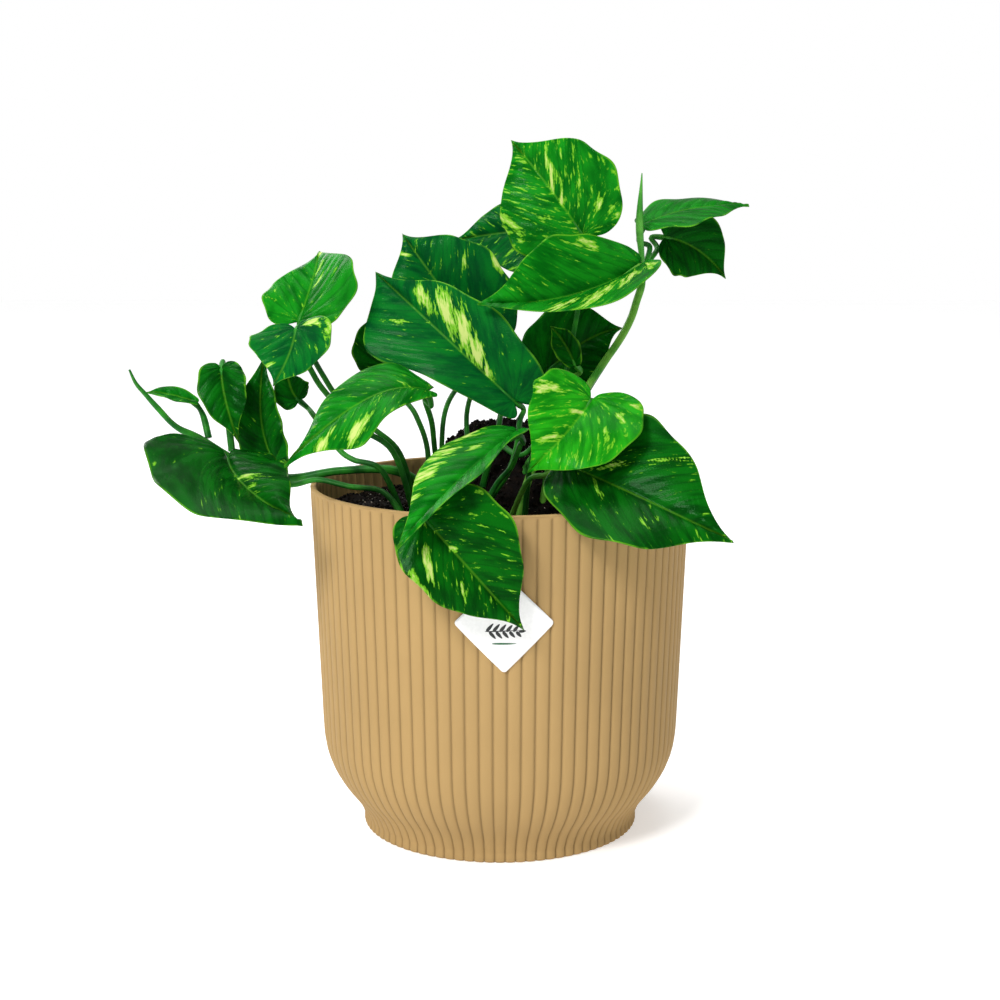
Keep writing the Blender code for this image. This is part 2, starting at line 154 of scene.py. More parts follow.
# What sets each leaf apart. tone names its green, and flecks says how speckled it is. crown is how
# far its halves swell in mm, and wave and waves are its margin's height in mm and their number. A
# splash is a pale patch: its place as shares of length and of half width (negative on the left),
# its reach along and across the side veins in mm, and its strength.
PLAIN_LOOKS = {"flecks": 0.15, "splashes": (), "crown": 1.0, "wave": 0.8, "waves": 2.2}
LOOKS = {
    "top": {"tone": "mid", "flecks": 0.36, "splashes": (
        (0.50, 0.12, 8, 2.6, 1.0), (0.32, 0.05, 7, 2.2, 0.95), (0.33, 0.42, 9, 1.6, 0.8),
        (0.12, 0.50, 10, 2.2, 0.8), (0.00, 0.60, 9, 2.0, 0.7), (0.64, 0.25, 7, 2.0, 0.8),
        (0.40, -0.85, 7, 2.6, 0.8), (0.30, -0.35, 7, 1.5, 0.6))},
    "upper_right": {"tone": "mid", "flecks": 0.2, "waves": 1.5, "splashes": (
        (0.27, 0.75, 9, 4.0, 0.75), (0.60, -0.60, 9, 5.0, 0.95), (0.40, -0.55, 12, 6.0, 0.95),
        (0.22, -0.45, 9, 6.0, 0.9), (0.05, -0.40, 9, 5.0, 0.8))},
    "far_right": {"tone": "mid", "flecks": 0.1},
    "far_right_rear": {"tone": "dark", "flecks": 0.1},
    "centre": {"tone": "blue", "flecks": 0.14, "splashes": (
        (0.66, 0.28, 7, 7.0, 0.95), (0.52, 0.40, 9, 7.0, 1.1), (0.40, 0.35, 10, 6.5, 1.15),
        (0.28, 0.20, 8, 6.0, 1.05), (0.18, 0.08, 5, 4.0, 0.9), (0.69, -0.38, 6, 1.8, 0.85))},
    "centre_rear": {"tone": "blue", "flecks": 0.22, "splashes": (
        (0.45, 0.55, 5, 2.0, 0.8), (0.80, -0.20, 3, 2.0, 0.8), (0.30, 0.95, 4, 2.5, 0.8))},
    "top_rear": {"tone": "blue", "flecks": 0.3},
    "centre_left_rear": {"tone": "dark"},
    "left_high": {"tone": "mid", "flecks": 0.2, "splashes": (
        (0.93, 0.10, 4, 3.0, 1.0), (0.66, 0.14, 5, 2.4, 0.85), (0.45, 0.15, 5, 2.0, 0.7),
        (0.35, 0.45, 8, 1.6, 0.55))},
    "left_mid": {"tone": "blue", "flecks": 0.2, "splashes": (
        (0.02, -0.45, 8, 4.0, 0.95), (0.15, -0.90, 5, 4.0, 0.8), (0.75, 0.30, 4, 2.0, 0.7))},
    "left_rear": {"tone": "dark"},
    "left_upright": {"tone": "dark", "waves": 3.5, "wave": 1.0},
    "left_low": {"tone": "dark", "waves": 3.2, "wave": 1.1, "crown": 2.2, "splashes": (
        (0.38, -0.12, 6, 3.0, 0.9), (0.52, -0.10, 4, 2.0, 0.7))},
    "left_small": {"tone": "dark"},
    "left_narrow": {"tone": "mid"},
    "left_arching": {"tone": "mid", "flecks": 0.26, "splashes": (
        (0.64, -0.65, 7, 5.0, 1.0), (0.82, -0.35, 5, 5.0, 0.9), (0.35, -0.75, 7, 4.0, 0.7),
        (0.20, 0.10, 4, 3.0, 0.6))},
    "front_folded": {"tone": "mid", "flecks": 0.12, "splashes": (
        (0.20, 0.85, 6, 8.0, 0.95), (0.42, 0.80, 6, 8.0, 0.95), (0.62, 0.75, 6, 8.0, 0.95),
        (0.80, 0.60, 5, 7.0, 0.85), (0.30, 0.35, 4, 5.0, 0.6))},
    "front_hanging": {"tone": "dark", "flecks": 0.27, "splashes": (
        (0.30, -0.02, 3, 2.2, 0.9), (0.24, 0.52, 7, 2.4, 1.15), (0.30, 0.60, 6, 2.2, 1.1),
        (0.54, 0.41, 3, 1.8, 0.9), (0.15, 1.00, 4, 7.0, 0.8), (0.42, 0.98, 3, 6.0, 0.8))},
    "right_low": {"tone": "dark", "flecks": 0.2, "splashes": (
        (0.30, -0.26, 10, 1.8, 0.85), (0.56, -0.62, 9, 1.8, 0.9), (0.66, -0.75, 6, 1.6, 0.8),
        (0.28, 0.20, 7, 1.8, 0.7), (0.85, 0.20, 4, 2.0, 0.7), (0.62, 0.45, 7, 1.4, 0.6))},
    "front_right": {"tone": "bright", "flecks": 0.3, "splashes": (
        (0.22, 0.80, 7, 3.5, 1.05), (0.26, 0.10, 5, 2.6, 0.95), (0.62, 0.12, 6, 2.4, 0.9),
        (0.12, -0.60, 6, 2.0, 0.8), (-0.05, -0.75, 6, 2.0, 0.8), (0.35, -0.60, 6, 1.8, 0.75))},
    "right_rear": {"tone": "dark", "flecks": 0.12},
    "young": {"tone": "dark"},
}
LIGHT_STALKS = ("upper_right", "right_low", "young")

# Colours. Where there are two, a surface varies between them.
TONES = {
    "mid": ((0.001, 0.078, 0.003), (0.005, 0.18, 0.006)),
    "dark": ((0.001, 0.034, 0.002), (0.002, 0.090, 0.003)),
    "blue": ((0.001, 0.050, 0.010), (0.002, 0.115, 0.011)),
    "bright": ((0.003, 0.13, 0.003), (0.015, 0.28, 0.006)),
}
LEAF_PALE = (0.13, 0.38, 0.015)
LEAF_CREAM = (0.44, 0.53, 0.15)
UNDERSIDE_GREEN = (0.03, 0.20, 0.03)
STALK_GREENS = ((0.004, 0.075, 0.008), (0.02, 0.20, 0.012))
LIGHT_STALK_GREENS = ((0.025, 0.20, 0.012), (0.14, 0.36, 0.04))
YOUNG_GREENS = ((0.03, 0.20, 0.02), (0.10, 0.36, 0.05))
STALK_LINE = (0.16, 0.42, 0.06)
POT_TAN = (0.358, 0.234, 0.097)
PAPER_WHITES = ((0.86, 0.86, 0.85), (0.92, 0.92, 0.91))
SPRIG_BLACK = (0.006, 0.008, 0.007)
SPRIG_GREEN = (0.01, 0.09, 0.03)
PEAT = ((0.002, 0.0014, 0.0012), (0.010, 0.006, 0.004))
CRUMB_PEAT = ((0.002, 0.0015, 0.0012), (0.016, 0.010, 0.006))
PERLITE = ((0.20, 0.15, 0.10), (0.75, 0.70, 0.62))
FLOOR_GREYS = ((0.80, 0.80, 0.80), (0.82, 0.82, 0.82))

CEILING = (0.10, 0.25)  # height of the sky, as the sine of its elevation, over which it dims
SKY_LIGHT = 0.40
FLOOR_GLOW = (0.44, 0.62)  # near the pot and far from it
GLOW_REACH = (0.3, 1.5)
LIGHTS = (  # name, place, aim, size, watts
    ("key", (-0.50, -0.95, 0.95), (0, 0, 0.14), (0.35, 0.35), 15),
    ("top", (-0.1, 0.1, 1.3), (0, 0, 0.1), (0.8, 0.8), 9),
    ("rim", (-0.6, 0.7, 0.7), (0, 0, 0.2), (0.5, 0.5), 4),
)


class Leaf:
    """One leaf: its midrib runs base, mid, tip, its upper side looks along face, and its stalk runs
    from the blade through the via points to root. Half widths and fold (in degrees) are given on
    the left and the right, as seen from above with the tip away."""

    def __init__(self, name, base, mid, tip, face, half_widths, via, root, fold=(12, 12),
                 outline=(HEART, HEART), stalk=1.0):
        self.name = name
        self.base, self.mid, self.tip = (np.array(point, float) for point in (base, mid, tip))
        self.bend = 2 * self.mid - (self.base + self.tip) / 2
        self.length = np.linalg.norm(self.mid - self.base) + np.linalg.norm(self.tip - self.mid)
        self.face = unit(np.array(face, float))
        self.half_widths = half_widths
        self.via, self.root = via, root
        self.fold = np.radians(fold)
        self.outline = outline
        self.stalk = stalk
        self.looks = {**PLAIN_LOOKS, **LOOKS[name]}

    def frame(self, t):
        """The midrib's points and directions at shares t of its length, straight on past the base,
        with the leaf's right-hand side and its upper side."""
        t = np.asarray(t, float)[..., None]
        inside = np.maximum(t, 0)
        start = 2 * (self.bend - self.base)
        point = (self.base * (1 - inside) ** 2 + self.bend * 2 * inside * (1 - inside)
                 + self.tip * inside ** 2 + start * np.minimum(t, 0))
        along = unit(start * (1 - inside) + 2 * (self.tip - self.bend) * inside)
        side = unit(np.cross(along, self.face))
        return point, along, side, np.cross(side, along)

    def surface(self, x, y):
        """The blade's points and upward normals, at shares of its length and half width."""
        point, _, side, up = self.frame(x)
        hand = (y > 0).astype(int)
        width = np.array(self.half_widths, float)[hand] * np.abs(y)
        fold = self.fold[hand]
        sign = np.sign(y)
        across = side * (sign * np.cos(fold))[..., None] + up * np.sin(fold)[..., None]
        normal = up * np.cos(fold)[..., None] - side * (sign * np.sin(fold))[..., None]
        return point + across * width[..., None], normal


def unit(vector):
    """These vectors at length 1."""
    return vector / np.linalg.norm(vector, axis=-1, keepdims=True)


def smooth_path(points, t):
    """Points on the Catmull-Rom curve through these points, at shares t of the way along them."""
    points = np.asarray(points, float)
    padded = np.vstack([2 * points[0] - points[1], points, 2 * points[-1] - points[-2]])
    position = np.clip(t, 0, 1) * (len(points) - 1)
    i = np.minimum(position.astype(int), len(points) - 2)
    f = (position - i)[..., None]
    a, b, c, d = (padded[i + k] for k in range(4))
    return 0.5 * (2 * b + (c - a) * f + (2 * a - 5 * b + 4 * c - d) * f ** 2
                  + (3 * b - a - 3 * c + d) * f ** 3)


def in_pot(points):
    """Plant points, in millimetres above the rim, in the pot's frame."""
    return np.asarray(points, float) * MM + (0, 0, POT_HEIGHT)


LEAVES = (
    Leaf("top", (30, 6, 90), (17, 11, 108), (4, 20, 124), (-.5, -1, .3), (23, 24),
         [(31, 14, 80), (28, 4, 60), (21, -7, 31), (9, -11, 12)], (-2, 6), fold=(10, 8)),
    Leaf("upper_right", (51, 3, 79), (23, -18, 69), (-8, -25, 67), (0, -1, .35), (22, 22),
         [(51.7, 5, 72), (50, 5, 66), (47.8, 4, 59.4), (43.7, 2, 52), (36.5, -1, 42), (25, -9, 26),
          (14, -14, 12)], (7, -17), fold=(60, 6), outline=(LANCE, LANCE), stalk=1.5),
    Leaf("far_right", (53, 22, 93), (71, 27, 99), (94, 34, 100), (-.2, -.1, 1), (15, 15),
         [(55.5, 19, 85), (53, 15.5, 77), (51.5, 13, 69.5), (48.4, 12, 59), (44, 10, 51.5),
          (35, 5, 38.5), (23, 1, 22)], (10, -1), fold=(12, -15), outline=(LANCE, LANCE)),
    Leaf("far_right_rear", (63, 40, 88), (76, 43, 83), (87, 44, 72), (.1, -1, .2), (14, 14),
         [(60, 40, 83.5), (55, 32, 77), (52, 24, 68), (49.3, 20, 59), (44.7, 17, 51), (36, 12, 38),
          (25, 8, 22)], (14, 6)),
    Leaf("centre_rear", (-8, 10, 52), (-24, 8, 74), (-36, 16, 90), (-.1, -1, .3), (20, 23),
         [(-11, 12, 40), (-19, 0, 29), (-21, -7, 15)], (-20, -2)),
    Leaf("centre", (5, -25, 33), (-22, -15, 57), (-45, 0, 77), (-.2, -.94, .28), (23, 19),
         [(7, -25, 26), (6, -24, 17), (3, -20, 7)], (-4, -12), outline=(BROAD, HEART)),
    Leaf("top_rear", (22, 28, 92), (2, 32, 90), (-18, 34, 87), (-.1, -1, .3), (17, 12),
         [(14, 32, 76), (1, 24, 55), (-11, 8, 30), (-12, 0, 16)], (-12, 4)),
    Leaf("centre_left_rear", (-42, 6, 42), (-44, 8, 52), (-44, 10, 64), (0, -1, .3), (11, 11),
         [(-40, 5, 35), (-34, -3, 30), (-30, -8, 25), (-26, -12, 13)], (-26, -14)),
    Leaf("left_high", (-72, -9, 60), (-68, -1, 73), (-66, 10, 84), (-.6, -1, .2), (17, 25),
         [(-69, -1, 48), (-64, -5, 40), (-58, -9, 32), (-46, -12, 22), (-36, -10, 12)], (-31, -6)),
    Leaf("left_mid", (-72, -19, 58), (-74, -26, 49), (-79, -31, 39), (-.4, -1, .4), (17, 16),
         [(-70, -14, 49), (-67, -14, 42), (-62, -17, 35), (-50, -20, 23), (-38, -20, 14)],
         (-31, -18)),
    Leaf("left_rear", (-74, 3, 30), (-77, 4, 35), (-78, 5, 42), (0, -1, .1), (7, 7),
         [(-68, -2, 25), (-59, -8, 14), (-53, -11, 10), (-43, -14, 7)], (-36, -14)),
    Leaf("left_upright", (-82, -6, 8), (-87, -4, 26), (-85, 2, 49), (-.3, -1, .1), (10, 9),
         [], (-79, -.3, 2.2)),
    Leaf("left_low", (-98, -14, 11), (-88, -34, 3), (-67, -54, -6), (.3, -.6, .7), (18, 33),
         [(-94, -10, 5), (-77, -12, 1), (-66, -13, 3), (-54, -16, 1), (-42, -21, 0)], (-35, -26),
         outline=(HEART, FULL)),
    Leaf("left_small", (-100, -10, 43), (-98, -15, 32), (-93, -19, 17), (0, -1, .2), (9, 9),
         [(-99, -5, 28)], (-98, -2.9, 12)),
    Leaf("left_narrow", (-110, -5, 30), (-119, -6, 33), (-128, -7, 34), (0, -.6, 1), (4, 4),
         [], (-106, -4.8, 17.1), outline=(LANCE, LANCE)),
    Leaf("left_arching", (-25, -37, 38), (-46, -47, 36), (-73, -55, 14), (-.2, -.35, 1), (17, 16),
         [(-26, -32, 34), (-24, -24, 25), (-23, -16, 12)], (-20, -14), fold=(-15, 12),
         outline=(BROAD, HEART)),
    Leaf("front_folded", (6, -50, 25), (-12, -73, 14), (-33, -90, -7), (-.5, -1, .8), (11, 15),
         [(7, -43, 20), (4, -34, 11), (-1, -22, 3)], (-6, -18), fold=(35, 5),
         outline=(LANCE, LANCE)),
    Leaf("front_hanging", (-25, -74, 0), (-9, -79, -17), (8, -77, -37), (0, -1, .3), (22, 17),
         [(-24, -72, 4), (-20, -62, 6), (-14, -40, 3)], (-12, -26)),
    Leaf("right_low", (22, -46, 14), (47, -62, 5), (77, -74, -8), (0, -1, .8), (27, 24),
         [(16, -40, 9), (10, -34, 6)], (4, -26), outline=(HEART, LANCE)),
    Leaf("front_right", (31, -46, 36), (22, -58, 26), (9, -60, 13), (0, -1, .5), (21, 19),
         [(24, -42, 29), (15, -37, 22), (11, -30, 12)], (9, -21), outline=(DEEP, DEEP)),
    Leaf("right_rear", (17, 4, 40), (31, 8, 51), (45, 8, 56), (0, -1, .3), (17, 14),
         [(9, 6, 34), (1, -2, 27), (-1, -8, 18)], (-6, -4)),
    Leaf("young", (27, -10, 44), (23, -10, 52), (18, -8, 58), (-.3, -1, .2), (5, 5),
         [(26, -3, 38), (22, -2, 28), (19, -5, 14)], (16, -8), outline=(LANCE, LANCE)),
)

VINE = ((-25, 3), [(-38, 0, 4), (-59, 1, 4), (-79, 2, 1), (-95, 0, 7), (-109, -7, 17),
                   (-117, -10, 22), (-123, -12, 29), (-127, -13, 34), (-130, -14, 38),
                   (-132, -15, 43)])
SPEAR = [(52.3, 14.5, 80), (50.9, 12, 94), (51.6, 11, 112)]

# ---------------------------------------------------------------- materials

class Shader:
    """A material or world being put together: each method adds a node and returns its output."""

    def __init__(self, owner, shader="Principled BSDF"):
        owner.use_nodes = True
        self.owner = owner
        self.tree = owner.node_tree
        self.out = self.tree.nodes[shader]

    def node(self, kind, inputs=(), output=0, **settings):
        node = self.tree.nodes.new("ShaderNode" + kind)
        for name, value in settings.items():
            setattr(node, name, value)
        for key, value in dict(inputs).items():
            self.join(node.inputs[key], value)
        return node.outputs[output]

    def join(self, socket, value):
        if isinstance(value, bpy.types.NodeSocket):
            self.tree.links.new(value, socket)
        elif isinstance(value, tuple) and len(value) == 3 and socket.type == "RGBA":
            socket.default_value = (*value, 1)
        else:
            socket.default_value = value

    def set(self, **values):
        """Sets the shader's own sockets, with _ for the spaces in their names."""
        for name, value in values.items():
            self.join(self.out.inputs[name.replace("_", " ")], value)

    def attribute(self, name, output="Vector"):
        return self.node("Attribute", attribute_name=name, output=output)

    def parts(self, vector):
        node = self.tree.nodes.new("ShaderNodeSeparateXYZ")
        self.tree.links.new(vector, node.inputs[0])
        return node.outputs

    def math(self, operation, a, b):
        return self.node("Math", {0: a, 1: b}, operation=operation)

    def times(self, a, b):
        return self.math("MULTIPLY", a, b)

    def ramp(self, value, low, high, to_low=0.0, to_high=1.0):
        """A smooth step: to_low below low, to_high above high."""
        return self.node("MapRange", {"Value": value, "From Min": low, "From Max": high,
                                      "To Min": to_low, "To Max": to_high},
                         interpolation_type="SMOOTHSTEP")

    def mix(self, share, a, b):
        return self.node("Mix", {0: share, 6: a, 7: b}, output=2, data_type="RGBA")

    def position(self):
        return self.node("TexCoord", output=3)

    def scaled(self, values, scales, seed):
        """A place to read noise at: up to two values, each times its scale, and the seed."""
        scaled = map(self.times, values, scales)
        return self.node("CombineXYZ", {**dict(enumerate(scaled)), 2: seed})

    def noise(self, vector, scale, detail=3.0, roughness=0.55):
        return self.node("TexNoise", {"Vector": vector, "Scale": scale, "Detail": detail,
                                      "Roughness": roughness})

    def bump(self, height, strength, distance):
        self.set(Normal=self.node("Bump", {"Height": height, "Strength": strength,
                                           "Distance": distance}))


def shader(name):
    return Shader(bpy.data.materials.new(name))


def shade(colour, brightness):
    return tuple(brightness * value for value in colour)


def leaf_material(name, dark, light):
    """Waxy green with paler streaks along the side veins, painted shade in the side-vein grooves, a
    pale margin and a duller underside.
    """
    s = shader(name)
    across, along, seed = s.parts(s.attribute("vein"))[:]
    splash, edge, middle = s.parts(s.attribute("looks"))[:]
    under = s.attribute("under", "Fac")
    fine = s.noise(s.scaled((across, along), (0.62, 0.19), seed), 1.0, 4.0, 0.6)
    broad = s.noise(s.scaled((across, along), (0.16, 0.07), seed), 1.0, 2.0)
    from_vein = s.math("PINGPONG", s.math("DIVIDE", across, VEIN_PITCH_MM), 0.5)
    painted_vein_shade = s.ramp(from_vein, 0.0, 0.12, 1.0, 0.0)
    green = s.mix(s.ramp(broad, 0.35, 0.66), dark, light)
    green = s.mix(s.times(s.ramp(fine, 0.42, 0.70), 0.45), green, light)
    # Painted shade: the green darkens towards the dark tone in the side-vein grooves, where shade
    # would fall.
    green = s.mix(s.times(painted_vein_shade, 0.50), green, dark)
    # A streak turns pale where the fine noise is over a level, which is lower in a splash.
    amount = s.math("SUBTRACT", fine, s.math("SUBTRACT", 0.74, s.times(splash, 0.42)))
    colour = s.mix(s.ramp(amount, -0.03, 0.05), green, LEAF_PALE)
    colour = s.mix(s.ramp(amount, 0.04, 0.22), colour, LEAF_CREAM)
    margin = s.times(s.ramp(edge, 0.2, 0.8, 0.6, 0.0), s.ramp(broad, 0.35, 0.6))
    colour = s.mix(margin, colour, LEAF_PALE)
    colour = s.mix(s.ramp(middle, 0.15, 0.6, 0.22, 0.0), colour, LEAF_PALE)
    gloss = s.ramp(broad, 0.3, 0.7, 0.20, 0.32)
    s.set(Base_Color=s.mix(under, colour, s.mix(0.55, colour, UNDERSIDE_GREEN)),
          Roughness=s.math("ADD", gloss, s.times(under, 0.25)), Specular_IOR_Level=0.045,
          Specular_Tint=(0.25, 1.0, 0.35), Coat_Weight=0.012, Coat_Roughness=0.06)
    cells = s.node("TexVoronoi", {"Vector": s.position(), "Scale": 1100.0},
                   feature="DISTANCE_TO_EDGE")
    s.bump(s.math("ADD", s.times(s.ramp(cells, 0.0, 0.25), 0.5), fine), 0.25, 0.00022)
    return s.owner


def stalk_material(name, dark, light):
    """Smooth green stem with fine lengthwise lines and paler stretches."""
    s = shader(name)
    along, round_, seed = s.parts(s.attribute("stem"))[:]
    lines = s.noise(s.scaled((along, round_), (0.04, 9.0), seed), 1.0)
    patches = s.noise(s.scaled((along,), (0.12,), seed), 1.0, 2.0)
    colour = s.mix(s.ramp(patches, 0.35, 0.7), dark, light)
    colour = s.mix(s.times(s.ramp(lines, 0.5, 0.75), 0.35), colour, STALK_LINE)
    s.set(Base_Color=colour, Roughness=s.ramp(lines, 0.3, 0.7, 0.36, 0.48), Specular_IOR_Level=0.2,
          Specular_Tint=(0.45, 1.0, 0.5), Coat_Weight=0.03, Coat_Roughness=0.2)
    s.bump(lines, 0.3, 0.0002)
    return s.owner


def pot_material():
    """Matt tan plastic with a fine moulded grain, and painted shade that darkens the grooves where
    the ribs meet.
    """
    s = shader("pot_plastic")
    groove = s.attribute("groove", "Fac")
    place = s.position()
    cloud = s.noise(place, 22.0, 3.0)
    grain = s.noise(place, 2600.0, 2.0)
    colour = s.mix(s.ramp(cloud, 0.3, 0.7), POT_TAN, shade(POT_TAN, 1.08))
    # Painted shade: the rib grooves are darkened to half the tan, where shade would fall.
    colour = s.mix(s.times(s.ramp(groove, 0.15, 0.95), 0.62), colour, shade(POT_TAN, 0.5))
    colour = s.mix(s.times(s.ramp(grain, 0.55, 0.8), 0.15), colour, shade(POT_TAN, 1.25))
    s.set(Base_Color=colour, Roughness=s.ramp(cloud, 0.3, 0.7, 0.52, 0.64), Specular_IOR_Level=0.04)
    s.bump(grain, 0.18, 0.00012)
    return s.owner


def label_material():
    """White coated paper."""
    s = shader("label_paper")
    fibre = s.noise(s.position(), 900.0, 4.0)
    s.set(Base_Color=s.mix(s.ramp(fibre, 0.3, 0.8), *PAPER_WHITES),
          Roughness=s.ramp(fibre, 0.3, 0.7, 0.34, 0.44))
    s.bump(fibre, 0.1, 0.00005)
    return s.owner


def ink_material(colour):
    """Printed ink, thinner where the paper's grain shows through."""
    s = shader("sprig_ink")
    grain = s.noise(s.position(), 1500.0, 3.0)
    s.set(Base_Color=s.mix(s.ramp(grain, 0.35, 0.75), colour, shade(colour, 2.2)),
          Roughness=s.ramp(grain, 0.3, 0.7, 0.35, 0.5))
    return s.owner


def soil_material(name, dark, light):
    """Damp peat or perlite: dark, with paler fibres."""
    s = shader(name)
    lumps = s.noise(s.position(), 420.0, 6.0, 0.7)
    s.set(Base_Color=s.mix(s.ramp(lumps, 0.4, 0.72), dark, light),
          Roughness=s.ramp(lumps, 0.3, 0.7, 0.75, 0.98), Specular_IOR_Level=0.08)
    s.bump(lumps, 0.7, 0.0008)
    return s.owner


def floor_material():
    """Pale paint, lit a little more with distance so that the floor meets the white sky."""
    s = shader("floor_paint")
    place = s.position()
    away = s.node("VectorMath", {0: place}, output=1, operation="LENGTH")
    s.set(Base_Color=s.mix(s.noise(place, 6.0, 2.0), *FLOOR_GREYS), Roughness=0.8,
          Emission_Color=(1.0, 1.0, 1.0), Emission_Strength=s.ramp(away, *GLOW_REACH, *FLOOR_GLOW))
    return s.owner


# ---------------------------------------------------------------- meshes

def mesh_object(name, points, faces, material, slot, replaces=(), attributes=None):
    """A smooth-shaded piece that rides on the plant's one body."""
    mesh = bpy.data.meshes.new(name)
    mesh.from_pydata(np.asarray(points, float).reshape(-1, 3).tolist(), [], faces)
    for key, values in (attributes or {}).items():
        values = np.asarray(values, np.float32)
        kind = "FLOAT" if values.ndim == 1 else "FLOAT_VECTOR"
        layer = mesh.attributes.new(key, kind, "POINT")
        layer.data.foreach_set("value" if values.ndim == 1 else "vector", values.ravel())
    mesh.materials.append(material)
    mesh.shade_smooth()
    obj = bpy.data.objects.new(name, mesh)
    bpy.context.scene.collection.objects.link(obj)
    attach(obj, "root")
    if replaces:
        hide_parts(*replaces)
    return obj


def grid_faces(rows, columns, first=0, wrap=False, flip=False):
    """Quads between points stored row by row, closed round each row if wrap is set."""
    r = np.arange(rows - 1)[:, None]
    c = np.arange(columns if wrap else columns - 1)[None, :]
    right = (c + 1) % columns
    here, ahead = r * columns, (r + 1) * columns
    corners = [here + c, here + right, ahead + right, ahead + c]
    quads = np.stack([np.broadcast_to(corner, (rows - 1, c.size)) for corner in corners], -1)
    quads = quads.reshape(-1, 4) + first
    return (quads[:, ::-1] if flip else quads).tolist()


def closing_faces(rows, steps, first_middle, last_middle, flip=False):
    """Triangles from the first and the last row of a wrapped grid to a middle point for each."""
    last = (rows - 1) * steps
    faces = []
    for i in range(steps):
        j = (i + 1) % steps
        a, b = (i, j) if flip else (j, i)
        faces += [(first_middle, a, b), (last_middle, last + b, last + a)]
    return faces


def turn(steps):
    """Angles once round, in equal steps."""
    return np.linspace(0, 2 * math.pi, steps, endpoint=False)


# ---------------------------------------------------------------- pot

def body_radius(height):
    """The pot's outer radius over its ribs: a straight taper, curving in below the bowl height."""
    height = np.asarray(height, float)
    radius = POT_RADIUS - POT_TAPER * (POT_HEIGHT - height)
    share = np.clip((BOWL_HEIGHT - height) / (BOWL_HEIGHT - FOOT_HEIGHT), 0, 1)
    flare = FOOT_FLARE * np.clip(1 - height / FOOT_HEIGHT, 0, 1)
    return radius - BOWL_DROP * share ** BOWL_CURVE + flare


def soft_radius(height):
    """The outer radius with the crease over the foot smoothed out."""
    height = np.asarray(height, float)
    reach = np.minimum(FOOT_SOFTNESS, height)
    spread = np.linspace(-1, 1, 11)
    return np.mean([body_radius(height + reach * share) for share in spread], 0)


def rib_depth(angle):
    """How far in the wall is, from 0 on a rib's crown to 1 in the narrow groove."""
    share = np.abs(2 * np.mod(angle * RIB_COUNT / (2 * math.pi), 1) - 1)
    return 1 - np.sqrt(np.maximum(1 - share ** 2, 0))


def pot_profile():
    """Radius, height and rib weight, from the underside's middle up the outside and down inside."""
    foot, ribs_end = body_radius(0), POT_HEIGHT - LIP_HEIGHT
    floor, half = FOOT_HEIGHT + POT_FLOOR, POT_WALL / 2
    # Underside and the foot's edge
    rows = [(0, UNDERSIDE_RISE, 0), (foot - 7 * MM, UNDERSIDE_RISE, 0), (foot - 5 * MM, 0, 0.5),
            (foot - 1.0 * MM, 0, 1), (foot - 0.3 * MM, 0.3 * MM, 1)]
    # Outside, with the ribs running out below the lip
    rows += [(soft_radius(z), z, 1) for z in np.linspace(1.0 * MM, BOWL_HEIGHT, 40)]
    rows += [(body_radius(z), z, 1)
             for z in np.linspace(BOWL_HEIGHT + 4 * MM, ribs_end - 1.2 * MM, 14)]
    rows += [(body_radius(ribs_end) - 0.05 * MM, ribs_end - 0.5 * MM, 0.75),
             (body_radius(ribs_end) - 0.10 * MM, ribs_end, 0.15),
             (POT_RADIUS - 0.10 * MM, ribs_end + 0.4 * MM, 0)]
    # Rounded lip
    lip_foot = POT_HEIGHT - LIP_ROUND
    rows += [(POT_RADIUS - half + half * math.cos(a), lip_foot + LIP_ROUND * math.sin(a), 0)
             for a in np.linspace(0, math.pi, LIP_STEPS)]
    # Inside, and its floor
    inside = np.concatenate([np.linspace(ribs_end, SOIL_LEVEL - 4 * MM, 14),
                             np.linspace(SOIL_LEVEL - 8 * MM, floor, 16)])
    rows += [(body_radius(z) - POT_WALL, z, min(1, max(0, (ribs_end - z) / MM))) for z in inside]
    rows += [(FLOOR_RADIUS, floor, 0), (0, floor, 0)]
    return np.array(rows)


def build_pot():
    profile = pot_profile()
    steps = RIB_COUNT * RIB_STEPS
    angle = turn(steps)
    groove = rib_depth(angle)[None, :] * profile[1:-1, 2:3]
    radius = profile[1:-1, 0:1] - RIB_DEPTH * groove
    height = np.broadcast_to(profile[1:-1, 1:2], radius.shape)
    ring = np.stack([radius * np.cos(angle), radius * np.sin(angle), height], -1).reshape(-1, 3)
    rows = len(profile) - 2
    points = np.vstack([ring, (0, 0, profile[0, 1]), (0, 0, profile[-1, 1])])
    faces = grid_faces(rows, steps, wrap=True)
    faces += closing_faces(rows, steps, len(ring), len(ring) + 1)
    # The groove attribute is the rib depth, which the pot's material turns into painted shade.
    mesh_object("cover_pot", points, faces, pot_material(), "pot", ["pot"],
                {"groove": np.append(groove.ravel(), (0, 0))})


def on_wall(across, up, proud):
    """Points on the pot's front, from distances across and above the sticker's centre."""
    height = LABEL_HEIGHT + up
    radius = body_radius(height) + proud
    angle = (LABEL_ASIDE + across) / radius
    return np.stack([radius * np.sin(angle), -radius * np.cos(angle), height], -1)


def plate(outline, rings, base, thickness):
    """A thin closed plate on the pot's front: rings of its outline, shrunk towards its centre."""
    outline = np.asarray(outline, float)
    centre = outline.mean(0)
    count = len(outline)
    share = np.linspace(1, 0, rings, endpoint=False)[:, None, None]
    flat = np.vstack([(centre + (outline - centre) * share).reshape(-1, 2), centre])
    front = on_wall(flat[:, 0], flat[:, 1], base + thickness)
    back = on_wall(flat[:, 0], flat[:, 1], base)
    points = np.vstack([front, back])
    size = len(flat)
    faces = grid_faces(rings, count, wrap=True)
    faces += grid_faces(rings, count, first=size, wrap=True, flip=True)
    last = (rings - 1) * count
    for i in range(count):
        j = (i + 1) % count
        faces.append((last + i, last + j, size - 1))
        faces.append((size + last + j, size + last + i, 2 * size - 1))
        faces.append((j, i, size + i, size + j))
    return points, faces


